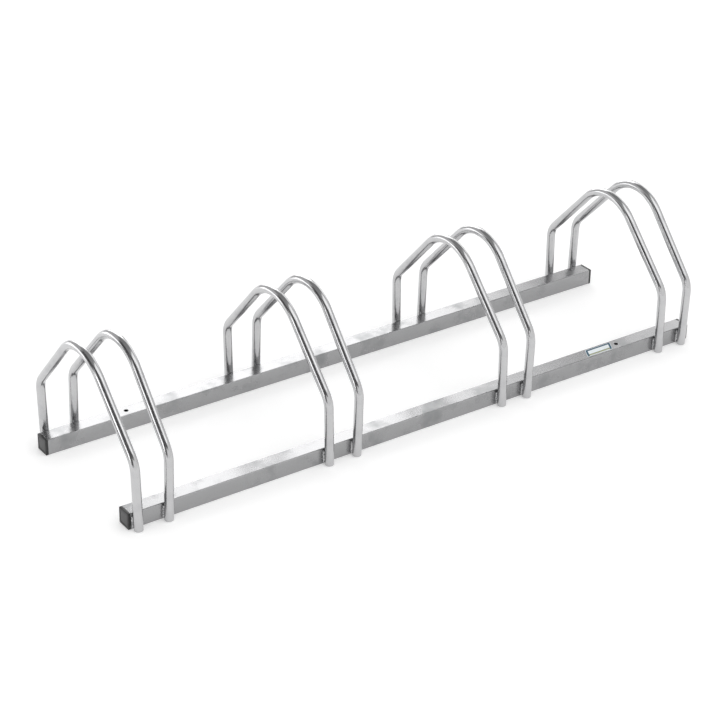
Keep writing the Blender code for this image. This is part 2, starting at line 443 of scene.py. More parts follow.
def finish_tree(tree: bpy.types.NodeTree, look: dict, relief: bpy.types.Node, depth: float) -> None:
    """End a material with its shader, over a relief in its surface.

    Args:
        tree: the node tree.
        look: values or nodes for the shader's own inputs.
        relief: where the surface is high and low, from 1 to 0.
        depth: the relief's real depth.
    """
    bump = add_node(tree, "Bump", {"Height": relief, "Strength": 1.0, "Distance": depth})
    shader = add_node(tree, "BsdfPrincipled", {**look, "Normal": bump})
    add_node(tree, "OutputMaterial", {"Surface": shader})


@dataclass(frozen=True)
class ZincPlate:
    """Bright zinc, electroplated on drawn steel tube: a pale, slightly blue metal.

    The plating is thin, so the surface keeps the lengthwise lines of the drawing die under a near
    mirror, and handling leaves broad, faint smudges that are a little duller.

    Attributes:
        name: name of the material.
        bright: colour of the clean plating.
        dull: colour of the smudges.
        roughness: roughness of the clean plating.
        dulling: roughness that a smudge adds.
        line_length: length of a drawing line.
        line_pitch: distance between drawing lines, coarser than the real 0.2 mm, so that they show.
        line_depth: depth of a drawing line.
        smudge_size: size of a smudge.
        follows_tube: whether the lines follow a bent tube and not the X axis.
        smudge_edge: the noise's values at a smudge's outer and inner edge.
    """

    name: str
    bright: str
    dull: str
    roughness: float
    dulling: float
    line_length: float
    line_pitch: float
    line_depth: float
    smudge_size: float
    follows_tube: bool
    smudge_edge: tuple[float, float] = (0.45, 0.75)

    def material(self) -> bpy.types.Material:
        """Build the material: noise drawn out along the tube for the lines, round noise for smudges.

        Returns:
            The material.
        """
        material, tree = new_tree(self.name)
        if self.follows_tube:
            place = add_node(tree, "Attribute", attribute_name=FOLLOW).outputs["Vector"]
        else:
            place = add_node(tree, "TexCoord").outputs["Object"]
        stretch = (1 / self.line_length, 1 / self.line_pitch, 1 / self.line_pitch)
        drawn = add_node(tree, "Mapping", {"Vector": place, "Scale": stretch})
        grain = {"Vector": drawn, "Scale": 1.0, "Detail": 3.0, "Roughness": 0.6}
        lines = add_node(tree, "TexNoise", grain)
        cloud = {"Vector": place, "Scale": 1 / self.smudge_size, "Detail": 4.0, "Roughness": 0.55}
        smudges = add_node(tree, "TexNoise", cloud)
        amount, colour = paint_patches(tree, smudges, self.smudge_edge, (self.bright, self.dull))
        spread = {0: amount, 1: self.dulling, 2: self.roughness}
        duller = add_node(tree, "Math", spread, operation="MULTIPLY_ADD")
        look = {"Base Color": colour, "Metallic": 1.0, "Roughness": duller}
        finish_tree(tree, look, lines, self.line_depth)
        return material


@dataclass(frozen=True)
class WeldZinc:
    """Zinc plated over a weld bead of mild steel, as the bead froze.

    Plating doesn't level the bead, so the metal is grainier and greyer than the tube beside it. Its pits
    are painted a dark grey, painted shade in the low places of the relief.

    Attributes:
        name: name of the material.
        bright: colour of the bead's crown.
        grey: colour painted in its pits, painted shade in the relief's low places.
        roughness: roughness of the plating.
        grain: size of the pits.
        grain_depth: depth of the pits.
        crown_edge: the noise's values between which the grey turns bright.
    """

    name: str = "weld_bead_zinc"
    bright: str = "#CBCBCC"
    grey: str = "#626365"
    roughness: float = 0.26
    grain: float = 2.0 * MM
    grain_depth: float = 0.05 * MM
    crown_edge: tuple[float, float] = (0.35, 0.65)

    def material(self) -> bpy.types.Material:
        """Build the material: one noise for the pits' depth and for the painted shade in them.

        Returns:
            The material.
        """
        material, tree = new_tree(self.name)
        place = add_node(tree, "TexCoord").outputs["Object"]
        cloud = {"Vector": place, "Scale": 1 / self.grain, "Detail": 3.0, "Roughness": 0.6}
        pits = add_node(tree, "TexNoise", cloud)
        # Painted shade: the noise's low places, the pits of the relief, are painted dark grey.
        _, colour = paint_patches(tree, pits, self.crown_edge, (self.grey, self.bright))
        look = {"Base Color": colour, "Metallic": 1.0, "Roughness": self.roughness}
        finish_tree(tree, look, pits, self.grain_depth)
        return material


@dataclass(frozen=True)
class MouldedPlastic:
    """Black polyethylene, injection moulded in a spark-eroded tool.

    The tool leaves a fine matt grain. The sunk panel is painted a soft grey over the black, a painted
    sheen where its flat face catches the light. Handling rubs patches of it a little paler.

    Attributes:
        rail_y: distance of the rails' axes from the rack's middle.
        rail_z: height of the rails' axes.
        panel_half: half the panel's side.
        name: name of the material.
        black: colour of the plastic.
        rubbed: colour where it is rubbed paler.
        painted_sheen_grey: colour painted over the panel, a painted sheen where its flat face catches the
            light.
        roughness: roughness of the grain.
        ior: refractive index of polyethylene.
        grain: distance between grains, coarser than the real 0.15 mm, so that it shows.
        grain_depth: depth of the grain.
        patch: size of the rubbed places.
        patch_edge: the noise's values at a rubbed place's outer and inner edge.
    """

    rail_y: float
    rail_z: float
    panel_half: float
    name: str = "cap_black_polyethylene"
    black: str = "#171718"
    rubbed: str = "#29292A"
    painted_sheen_grey: str = "#3D3D3E"
    roughness: float = 0.42
    ior: float = 1.51
    grain: float = 0.5 * MM
    grain_depth: float = 0.03 * MM
    patch: float = 9 * MM
    patch_edge: tuple[float, float] = (0.4, 0.7)

    def material(self) -> bpy.types.Material:
        """Build the material: cell noise for the grain, round noise for the rubbed places.

        The panel is where the place is less than half the panel's side from the rail's axis in both Y
        and Z. Y is first folded about the rack's middle, which lays both rails on each other.

        Returns:
            The material.
        """
        material, tree = new_tree(self.name)
        place = add_node(tree, "TexCoord").outputs["Object"]
        folded = add_node(tree, "VectorMath", {0: place}, operation="ABSOLUTE")
        axis = (0.0, self.rail_y, self.rail_z)
        centred = add_node(tree, "VectorMath", {0: folded, 1: axis}, operation="SUBTRACT")
        away = add_node(tree, "VectorMath", {0: centred}, operation="ABSOLUTE")
        parts = add_node(tree, "SeparateXYZ", {"Vector": away}).outputs
        farther = add_node(tree, "Math", {0: parts["Y"], 1: parts["Z"]}, operation="MAXIMUM")
        panel = add_node(tree, "Math", {0: farther, 1: self.panel_half}, operation="LESS_THAN")
        grains = add_node(tree, "TexVoronoi", {"Vector": place, "Scale": 1 / self.grain})
        cloud = {"Vector": place, "Scale": 1 / self.patch, "Detail": 4.0, "Roughness": 0.6}
        rubbing = add_node(tree, "TexNoise", cloud)
        colours = (self.black, self.rubbed)
        _, colour = paint_patches(tree, rubbing, self.patch_edge, colours, Fade.EVEN)
        # Painted sheen: the sunk panel is painted a paler grey, where its flat face catches the light.
        painted_sheen_layers = {"Factor": panel, 6: colour, 7: linear(self.painted_sheen_grey)}
        with_painted_sheen = add_node(tree, "Mix", painted_sheen_layers, data_type="RGBA")
        look = {"Base Color": with_painted_sheen, "Roughness": self.roughness, "IOR": self.ior}
        finish_tree(tree, look, grains, self.grain_depth)
        return material


@dataclass(frozen=True)
class PrintedVinyl:
    """White vinyl film, screen printed and then sealed with a matt varnish.

    The ink lies in flat areas with crisp edges, and the varnish gives them all one soft sheen over the
    film's slight orange peel.

    Attributes:
        centre: middle of the film's top face.
        half: half its length and half its width.
        slant: how far its ends lean along X for each unit of Y.
        margin: width of the bare film round the frame.
        frame_width: width of the blue frame on its ends and its back edge.
        stripe_from: distance of the olive stripe from the front edge.
        stripe_to: distance at which the stripe ends.
        name: name of the material.
        film: colour of the bare film.
        blue: colour of the frame.
        olive: colour of the stripe.
        roughness: roughness of the varnish.
        ior: refractive index of the varnish.
        peel: size of the orange peel.
        peel_depth: depth of the orange peel.
    """

    centre: tuple[float, float, float]
    half: tuple[float, float]
    slant: float
    margin: float = 0.8 * MM
    frame_width: float = 4.3 * MM
    stripe_from: float = 1.8 * MM
    stripe_to: float = 6.2 * MM
    name: str = "printed_vinyl_film"
    film: str = "#E9F0F3"
    blue: str = "#164C64"
    olive: str = "#989C7B"
    roughness: float = 0.55
    ior: float = 1.5
    peel: float = 1.5 * MM
    peel_depth: float = 0.004 * MM

    def material(self) -> bpy.types.Material:
        """Build the material: the print is worked out from the distances to the film's edges.

        A place's X is set upright first, by taking away the slant times its Y.

        Returns:
            The material.
        """
        material, tree = new_tree(self.name)
        place = add_node(tree, "TexCoord").outputs["Object"]
        shift = tuple(-value for value in self.centre)
        centred = add_node(tree, "Mapping", {"Vector": place, "Location": shift})
        set_upright = {0: centred, 1: (1.0, -self.slant, 0.0)}
        upright = add_node(tree, "VectorMath", set_upright, operation="DOT_PRODUCT")
        along = add_node(tree, "Math", {0: upright}, operation="ABSOLUTE")
        across = add_node(tree, "SeparateXYZ", {"Vector": centred}).outputs["Y"]
        away = add_node(tree, "Math", {0: across}, operation="ABSOLUTE")
        length, width = (half - self.margin for half in self.half)
        in_length = add_node(tree, "Math", {0: along, 1: length}, operation="LESS_THAN")
        in_width = add_node(tree, "Math", {0: away, 1: width}, operation="LESS_THAN")
        printed = add_node(tree, "Math", {0: in_length, 1: in_width}, operation="MULTIPLY")
        end_from, back_from = length - self.frame_width, width - self.frame_width
        ends = add_node(tree, "Math", {0: along, 1: end_from}, operation="GREATER_THAN")
        back = add_node(tree, "Math", {0: across, 1: back_from}, operation="GREATER_THAN")
        border = add_node(tree, "Math", {0: ends, 1: back}, operation="MAXIMUM")
        framed = add_node(tree, "Math", {0: border, 1: printed}, operation="MULTIPLY")
        middle = (self.stripe_from + self.stripe_to) / 2 - self.half[1]
        reach = (self.stripe_to - self.stripe_from) / 2
        stripe = add_node(tree, "Math", {0: across, 1: middle, 2: reach}, operation="COMPARE")
        striped = add_node(tree, "Math", {0: stripe, 1: printed}, operation="MULTIPLY")
        colour = linear(self.film)
        for where, ink in ((striped, self.olive), (framed, self.blue)):
            layers = {"Factor": where, 6: colour, 7: linear(ink)}
            colour = add_node(tree, "Mix", layers, data_type="RGBA")
        peel = add_node(tree, "TexNoise", {"Vector": place, "Scale": 1 / self.peel, "Detail": 2.0})
        look = {"Base Color": colour, "Roughness": self.roughness, "IOR": self.ior}
        finish_tree(tree, look, peel, self.peel_depth)
        return material


@dataclass(frozen=True)
class Rails:
    """The two square tubes that lie on the floor, each with one fixing hole through it.

    Attributes:
        wall: thickness of the tube's wall.
        corner_radius: radius of its outer corners.
        rim_radius: radius of its sawn and deburred ends' edges.
        hole_radius: radius of the fixing hole.
        hole_edge: radius of the hole's edges.
        hole_to_label: distance from the hole to the label's middle.
        flat_marks: number of faces across a flat, which is also a quarter of the hole's sides.
        plain_steps: number of faces along the rail on either side of the hole's square.
        edge_steps: number of steps round the hole's edges.
        lead: shares of the way from the hole's square to the hole at which its outer rings lie.
        support: distance from a flat's edge to the row of points that keeps its shading flat.
        slot: name of a material slot; not used.
    """

    wall: float = 1.5 * MM
    corner_radius: float = 1.8 * MM
    rim_radius: float = 0.4 * MM
    hole_radius: float = 4.0 * MM
    hole_edge: float = 0.35 * MM
    hole_to_label: float = 41.5 * MM
    flat_marks: int = 14
    plain_steps: int = 7
    edge_steps: int = 3
    lead: tuple[float, float, float] = (0.0, 0.45, 0.8)
    support: float = 0.4 * MM
    slot: str = "rail_steel"

    def finish(self) -> ZincPlate:
        """Finish of the rails: their plating is a little duller than the hoops'."""
        return ZincPlate(
            name="rail_bright_zinc",
            bright="#A2A2A3",
            dull="#909192",
            roughness=0.25,
            dulling=0.1,
            line_length=60 * MM,
            line_pitch=1.1 * MM,
            line_depth=0.003 * MM,
            smudge_size=45 * MM,
            follows_tube=False,
        )

    def hole_x(self, row: Row) -> float:
        """Place of a rail's hole along X: beside the label in front, and turned round behind."""
        return -row.value * (NodeBox.of("blank_label").centre[0] + self.hole_to_label)

    def hole_rings(
        self, side: float, xs: np.ndarray, ys: np.ndarray, hole_x: float, z: float
    ) -> np.ndarray:
        """Rings that lead from a square of the outer face through the hole to the bore's face.

        A ring's point is a blend of the square's edge and a circle, both at the same turn: first the
        square, then the circle widened by the edge's radius, the rounded edge, the hole's wall, the
        edge inside and the square again, one wall deeper.

        Args:
            side: 1 for the upper wall, -1 for the lower one.
            xs: places of the square's points along X.
            ys: places of the square's points along Y, from the rail's axis.
            hole_x: place of the hole along X.
            z: distance of the outer face from the rail's axis.

        Returns:
            Array of rings x points x 3, about the rail's axis.
        """
        low_x, high_x = (np.full(len(ys) - 1, x) for x in (xs[0], xs[-1]))
        low_y, high_y = (np.full(len(xs) - 1, y) for y in (ys[0], ys[-1]))
        edge_x = np.concatenate([low_x, xs[:-1], high_x, xs[:0:-1]])
        edge_y = np.concatenate([ys[:-1], high_y, ys[:0:-1], low_y])
        counts = [len(ys) - 1, len(xs) - 1, len(ys) - 1, len(xs) - 1]
        shares = np.concatenate([corner + np.arange(count) / count for corner, count in enumerate(counts)])
        first_corner = math.radians(225)
        angle = first_corner - shares * np.pi / 2
        turn = np.linspace(0, np.pi / 2, self.edge_steps + 1)
        lead = np.array(self.lead)
        blend = np.concatenate([lead, np.ones(2 * len(turn)), lead[::-1]])
        flare = self.hole_edge * (1 - np.sin(turn))
        wide = np.full(len(lead), flare[0])
        radius = self.hole_radius + np.concatenate([wide, flare, flare[::-1], wide])
        sunk = self.hole_edge * (1 - np.cos(turn))
        deep = np.full(len(lead), self.wall)
        depth = np.concatenate([0 * lead, sunk, self.wall - sunk[::-1], deep])
        circle_x = hole_x + radius[:, None] * np.cos(angle)[None]
        circle_y = radius[:, None] * np.sin(angle)[None]
        mixed_x = (1 - blend)[:, None] * edge_x[None] + blend[:, None] * circle_x
        mixed_y = (1 - blend)[:, None] * edge_y[None] + blend[:, None] * circle_y
        height = np.repeat(side * (z - depth)[:, None], len(angle), axis=1)
        return np.stack([mixed_x, mixed_y, height], axis=-1)

    def surface(self, row: Row) -> Surface:
        """Carry a rounded square along X, as a closed pipe wall, and cut the hole's squares open.

        Args:
            row: which rail.

        Returns:
            The rail's surface.
        """
        box = NodeBox.of(f"{row.word}_rail")
        half = box.size[2] / 2
        flat = half - self.corner_radius
        hole_x = self.hole_x(row)
        edge_mark = 1 - self.support / flat
        inner_marks = np.linspace(-1, 1, self.flat_marks - 1)[1:-1]
        marks = np.concatenate([[-edge_mark], inner_marks, [edge_mark]])
        ring = RoundedRing(marks, CORNER_STEPS)
        square = np.linspace(hole_x - flat, hole_x + flat, self.flat_marks)
        ends = (box.low[0] + self.rim_radius, box.high[0] - self.rim_radius)
        near = np.linspace(ends[0], square[0], self.plain_steps + 1)[:-1]
        far = np.linspace(square[-1], ends[1], self.plain_steps + 1)[1:]
        stations = np.concatenate([near, square, far])
        pipe = PipeWall(stations, self.wall, self.rim_radius)
        along, depth = pipe.loop()
        section = ring.at(np.repeat((half - depth)[:, None], 2, axis=1), self.corner_radius - depth)
        xs = np.repeat(along[:, None], section.shape[1], axis=1)
        points = np.concatenate([xs[..., None], section], axis=-1)

        skip = np.zeros(section.shape[:2], bool)
        outer_rows = len(near) + np.arange(len(square) - 1)
        bore_rows = pipe.bore_row + len(stations) - 2 - outer_rows
        cells = np.concatenate([ring.first_cell(face) + np.arange(len(marks) + 1) for face in (1, 3)])
        skip[np.ix_(outer_rows, cells)] = True
        skip[np.ix_(bore_rows, cells)] = True
        rail = Surface.grid(points, True, True, skip)
        ys = flat * np.concatenate([[-1], marks, [1]])
        for side in (1, -1):
            rings = self.hole_rings(side, square, ys, hole_x, half)
            rail = rail.joined(Surface.grid(rings, False, True))
        rail.points = rail.points + np.array([0, box.centre[1], box.centre[2]])
        return rail

    def build(self) -> None:
        """Make both rails and dress them."""
        material = self.finish().material()
        for row in Row:
            add_piece(f"{row.word}_rail_tube", self.surface(row), f"{row.word}_rail", material)


@dataclass(frozen=True)
class Stand:
    """How a hoop stands: its foot's place and its sideways lean, read from the CAD node.

    Attributes:
        foot_x: place along X at the level of the rails' axes.
        axis_z: height of the rails' axes.
        lean: angle of the hoop's plane to the vertical, turned about Y.
    """

    foot_x: float
    axis_z: float
    lean: float

    @classmethod
    def of(cls, number: int, tube_radius: float) -> "Stand":
        """Read a hoop's stand from its node's box.

        The box is wider than the tube by the line's height times the lean's sine. The hoops of a pair
        lean apart at the top, the odd ones to the left.

        Args:
            number: the hoop's number.
            tube_radius: the tube's outer radius.

        Returns:
            The stand.
        """
        box = NodeBox.of(f"hoop_{number}")
        axis_z = NodeBox.of("front_rail").centre[2]
        side = -1 if number % 2 else 1
        tilt = math.asin((box.size[0] - 2 * tube_radius) / (box.size[2] - tube_radius))
        foot_edge = box.high[0] if side < 0 else box.low[0]
        foot_x = foot_edge + side * (tube_radius + (axis_z - box.low[2]) * math.sin(tilt))
        return cls(foot_x, axis_z, side * tilt)

    def placed(self, local: np.ndarray) -> np.ndarray:
        """Turn points about Y by the lean and move them to the foot.

        Args:
            local: points whose X is from the hoop's plane, and whose Z is from the rails' axes.

        Returns:
            The points in the rack's frame.
        """
        x, y, z = np.moveaxis(local, -1, 0)
        sine, cosine = math.sin(self.lean), math.cos(self.lean)
        placed_x = self.foot_x + x * cosine + z * sine
        placed_z = self.axis_z - x * sine + z * cosine
        return np.stack([placed_x, y, placed_z], axis=-1)


@dataclass(frozen=True)
class Hoops:
    """The eight bent tubes: two upright legs, two slopes and a rounded peak each.

    Attributes:
        count: number of hoops.
        tube_radius: outer radius of the tube.
        wall: thickness of its wall.
        rim_radius: radius of its cut ends' edges.
        leg_to_rail: distance from a leg's axis to the rail's face.
        shoulder_height: height of the corner between leg and slope, before it is rounded.
        shoulder_radius: bending radius of the shoulders.
        peak_height: height of the corner between the slopes, before it is rounded.
        peak_radius: bending radius of the peak.
        flattening: share by which a bend presses the tube flat.
        sides: number of faces round the tube.
        station_step: distance between the tube's rings.
        slot: name of a material slot; not used.
    """

    count: int = 8
    tube_radius: float = 8.0 * MM
    wall: float = 1.2 * MM
    rim_radius: float = 0.4 * MM
    leg_to_rail: float = 8.3 * MM
    shoulder_height: float = 123.5 * MM
    shoulder_radius: float = 40.0 * MM
    peak_height: float = 297.0 * MM
    peak_radius: float = 81.0 * MM
    flattening: float = 0.03
    sides: int = 48
    station_step: float = 3.0 * MM
    slot: str = "hoop_steel"

    def finish(self) -> ZincPlate:
        """Finish of the hoops: the brightest plating on the rack."""
        return ZincPlate(
            name="hoop_bright_zinc",
            bright="#C2C2C3",
            dull="#B6B6B8",
            roughness=0.19,
            dulling=0.05,
            line_length=45 * MM,
            line_pitch=1.0 * MM,
            line_depth=0.003 * MM,
            smudge_size=30 * MM,
            follows_tube=True,
        )

    @property
    def leg_y(self) -> float:
        """Distance of a leg's axis from the rack's middle."""
        return NodeBox.of("rear_rail").high[1] + self.leg_to_rail

    @staticmethod
    def rounded(before: np.ndarray, corner: np.ndarray, after: np.ndarray, radius: float) -> np.ndarray:
        """Points of the arc that rounds off a corner.

        The centre lies on the corner's bisector. The arc's points are the weighted sums of its first
        and last radius that turn from one to the other at an even rate.

        Args:
            before: the point before the corner.
            corner: the corner.
            after: the point after it.
            radius: radius of the arc.

        Returns:
            Points of the arc, 1 degree or less apart.
        """
        back = (before - corner) / np.linalg.norm(before - corner)
        on = (after - corner) / np.linalg.norm(after - corner)
        half_angle = math.acos(float(back @ on)) / 2
        bisector = (back + on) / np.linalg.norm(back + on)
        centre = corner + bisector * radius / math.sin(half_angle)
        reach = radius / math.tan(half_angle)
        first = corner + back * reach - centre
        last = corner + on * reach - centre
        swing = np.pi - 2 * half_angle
        share = np.linspace(0, 1, 2 + int(math.degrees(swing)))[:, None]
        arc = np.sin((1 - share) * swing) * first + np.sin(share * swing) * last
        return centre + arc / math.sin(swing)

    def line(self, stand: Stand) -> tuple[np.ndarray, np.ndarray]:
        """Centre line in the hoop's own plane, from the front leg's end to the rear leg's.

        Args:
            stand: how the hoop stands.

        Returns:
            The length along the line, and Y and Z at each of its points.
        """
        low = NodeBox.of("hoop_1").low[2] - stand.axis_z
        shoulder = self.shoulder_height - stand.axis_z
        front_end, rear_end = np.array([-self.leg_y, low]), np.array([self.leg_y, low])
        front, rear = np.array([-self.leg_y, shoulder]), np.array([self.leg_y, shoulder])
        peak = np.array([0.0, self.peak_height - stand.axis_z])
        points = np.concatenate(
            [
                front_end[None],
                self.rounded(front_end, front, peak, self.shoulder_radius),
                self.rounded(front, peak, rear, self.peak_radius),
                self.rounded(peak, rear, rear_end, self.shoulder_radius),
                rear_end[None],
            ]
        )
        lengths = np.linalg.norm(np.diff(points, axis=0), axis=1)
        return np.concatenate([[0.0], np.cumsum(lengths)]), points

    @staticmethod
    def interpolated(places: np.ndarray, length: np.ndarray, values: np.ndarray) -> np.ndarray:
        """Values at places along a line, evenly between those at its points.

        Args:
            places: lengths along the line.
            length: length along the line at each of its points.
            values: one row for each of its points.

        Returns:
            One row for each place.
        """
        return np.stack([np.interp(places, length, column) for column in values.T], axis=1)

    def surface(self, stand: Stand) -> Surface:
        """Carry a circle along the centre line, as a closed pipe wall.

        A point is the line's point, plus the section's radius times the cosine along the line's normal
        and the sine across the hoop's plane. In a bend the cosine part is less by the flattening and
        the sine part more by half of it, faded in by the turn that a short stretch of the line makes.

        Args:
            stand: how the hoop stands.

        Returns:
            The hoop's surface, whose follow vectors hold the length along it and its section's place.
        """
        length, points = self.line(stand)
        count = int(length[-1] / self.station_step)
        stations = np.linspace(self.rim_radius, length[-1] - self.rim_radius, count)
        along, depth = PipeWall(stations, self.wall, self.rim_radius).loop()
        reach = 2 * self.station_step
        steps = (-reach, 0.0, reach)
        behind, centre, ahead = (self.interpolated(along + step, length, points) for step in steps)
        turning = np.linalg.norm(ahead + behind - 2 * centre, axis=1) * self.shoulder_radius / reach**2
        inside = (along > reach) & (along < length[-1] - reach)
        bend = self.flattening * np.clip(turning, 0, 1) * inside
        tangent = self.interpolated(along, length, np.gradient(points, length, axis=0))
        tangent /= np.linalg.norm(tangent, axis=1)[:, None]
        normal = np.stack([-tangent[:, 1], tangent[:, 0]], axis=1)
        turn = np.linspace(0, 2 * np.pi, self.sides, endpoint=False)
        radius = self.tube_radius - depth
        in_plane = (radius * (1 - bend))[:, None] * np.cos(turn)[None]
        across = (radius * (1 + bend / 2))[:, None] * np.sin(turn)[None]
        yz = centre[:, None, :] + in_plane[..., None] * normal[:, None, :]
        local = np.concatenate([across[..., None], yz], axis=-1)
        lengthwise = np.repeat(along[:, None], self.sides, axis=1)
        follow = np.stack([lengthwise, in_plane, across], axis=-1)
        return Surface.grid(stand.placed(local), True, True, follow=follow)

    def build(self) -> None:
        """Make the hoops and dress them."""
        material = self.finish().material()
        for number in range(1, self.count + 1):
            surface = self.surface(Stand.of(number, self.tube_radius))
            add_piece(f"hoop_tube_{number}", surface, f"hoop_{number}", material)


@dataclass(frozen=True)
class WeldBeads:
    """The fillet welds in the grooves on both sides of each leg.

    Attributes:
        hoops: the hoops that the beads join to the rails.
        half_length: half the length of a bead.
        radius: radius of its round section.
        standoff: distance of its axis from the rail's face, less the touch gap.
        sink: depth to which a bead runs into the leg and the rail.
        ripple_pitch: distance between the ripples that the torch's steps leave.
        ripple_depth: depth of a ripple.
        ripple_bow: how far a ripple's middle lags behind its ends.
        face: direction of a bead's free face, halfway between along the rail and away from it.
        wander: share by which the bead's width wanders.
        wander_rates: half waves of the three wanderings from a bead's middle to its end.
        rings: number of rings along a bead.
        sides: number of faces round a bead.
        seed: seed of the wandering.
        slot: name of a material slot; not used.
    """

    hoops: Hoops
    half_length: float = 12.2 * MM
    radius: float = 3.1 * MM
    standoff: float = 1.3 * MM
    sink: float = 0.4 * MM
    ripple_pitch: float = 1.9 * MM
    ripple_depth: float = 0.22 * MM
    ripple_bow: float = 0.8 * MM
    face: float = math.radians(-45)
    wander: float = 0.07
    wander_rates: tuple[float, float, float] = (1.7, 3.1, 5.3)
    rings: int = 72
    sides: int = 28
    seed: int = 7
    slot: str = "weld_steel"

    def section_limit(self, turn: np.ndarray, across: float, towards: float) -> np.ndarray:
        """Distance from a bead's axis, in each direction, at which it has sunk into the leg or the rail.

        The rail is a plane, at a distance over the direction's sine. The leg is a circle about the
        origin, met where the line from the axis first crosses it, the smaller root of a quadratic.

        Args:
            turn: directions round the bead's axis.
            across: the axis's distance from the leg's axis along the rail.
            towards: its distance from the leg's axis towards the rail.

        Returns:
            One distance for each direction.
        """
        plane = self.hoops.leg_to_rail + self.sink - towards
        with np.errstate(divide="ignore"):
            to_rail = np.where(np.sin(turn) > NEARLY_LEVEL, plane / np.sin(turn), np.inf)
        tube = self.hoops.tube_radius - self.sink
        towards_leg = across * np.cos(turn) + towards * np.sin(turn)
        inside_root = towards_leg**2 - (across**2 + towards**2 - tube**2)
        root = -towards_leg - np.sqrt(np.maximum(inside_root, 0))
        to_leg = np.where((inside_root > 0) & (root > 0), root, np.inf)
        return np.minimum(to_rail, to_leg)

    def local(self, random: np.random.Generator) -> np.ndarray:
        """Points of a bead at +X of a leg, with the rail on the +Y side and Z from the rail's axis.

        The radius round the bead's axis is that of the section, drawn in to a round end by the square
        root of one less the fourth power of the length's share, times one less the ripples' sine and
        plus a slow wander, and cut off at the section's limit.

        Args:
            random: source of the wandering.

        Returns:
            Array of rings x sides x 3, whose end rings are poles.
        """
        towards = self.hoops.leg_to_rail - self.standoff
        across = 2 * math.sqrt(self.hoops.leg_to_rail * self.standoff)
        share = np.sin(np.linspace(-np.pi / 2, np.pi / 2, self.rings))
        turn = np.linspace(0, 2 * np.pi, self.sides, endpoint=False)
        height = np.repeat((self.half_length * share)[:, None], self.sides, axis=1)
        end = np.sqrt(np.maximum(1 - share**4, 0))[:, None]
        lag = self.ripple_bow * (1 - np.cos(turn - self.face))[None]
        phase = 2 * np.pi * (height + lag) / self.ripple_pitch + random.uniform(0, 2 * np.pi)
        ripple = self.ripple_depth * (0.5 + 0.5 * np.sin(phase))
        waves = random.uniform(0, 2 * np.pi, len(self.wander_rates))
        swings = np.sin(np.array(self.wander_rates) * share[:, None] * np.pi + waves)
        wander = self.wander * swings.mean(axis=1)[:, None]
        free = (self.radius * (1 + wander) - ripple) * end
        reach = np.minimum(free, self.section_limit(turn, across, towards)[None])
        x = across + reach * np.cos(turn)[None]
        y = towards + reach * np.sin(turn)[None]
        return np.stack([x, y, height], axis=-1)

    def surface(self, stand: Stand, row: Row, side: Side, random: np.random.Generator) -> Surface:
        """Put a bead into its groove.

        Args:
            stand: how the hoop stands.
            row: which rail the bead is on.
            side: on which side of the leg.
            random: source of the wandering.

        Returns:
            The bead's surface.
        """
        local = self.local(random)
        local[..., 0] *= side.value
        local[..., 1] = row.value * (self.hoops.leg_y - local[..., 1])
        return Surface.grid(stand.placed(local), False, True)

    def build(self) -> None:
        """Make the beads and dress them."""
        material = WeldZinc().material()
        random = np.random.default_rng(self.seed)
        for number in range(1, self.hoops.count + 1):
            stand = Stand.of(number, self.hoops.tube_radius)
            for row in Row:
                for side in Side:
                    place = f"{number}_{row.word}_{side.word}"
                    surface = self.surface(stand, row, side, random)
                    add_piece(f"weld_bead_{place}", surface, f"weld_{place}", material)


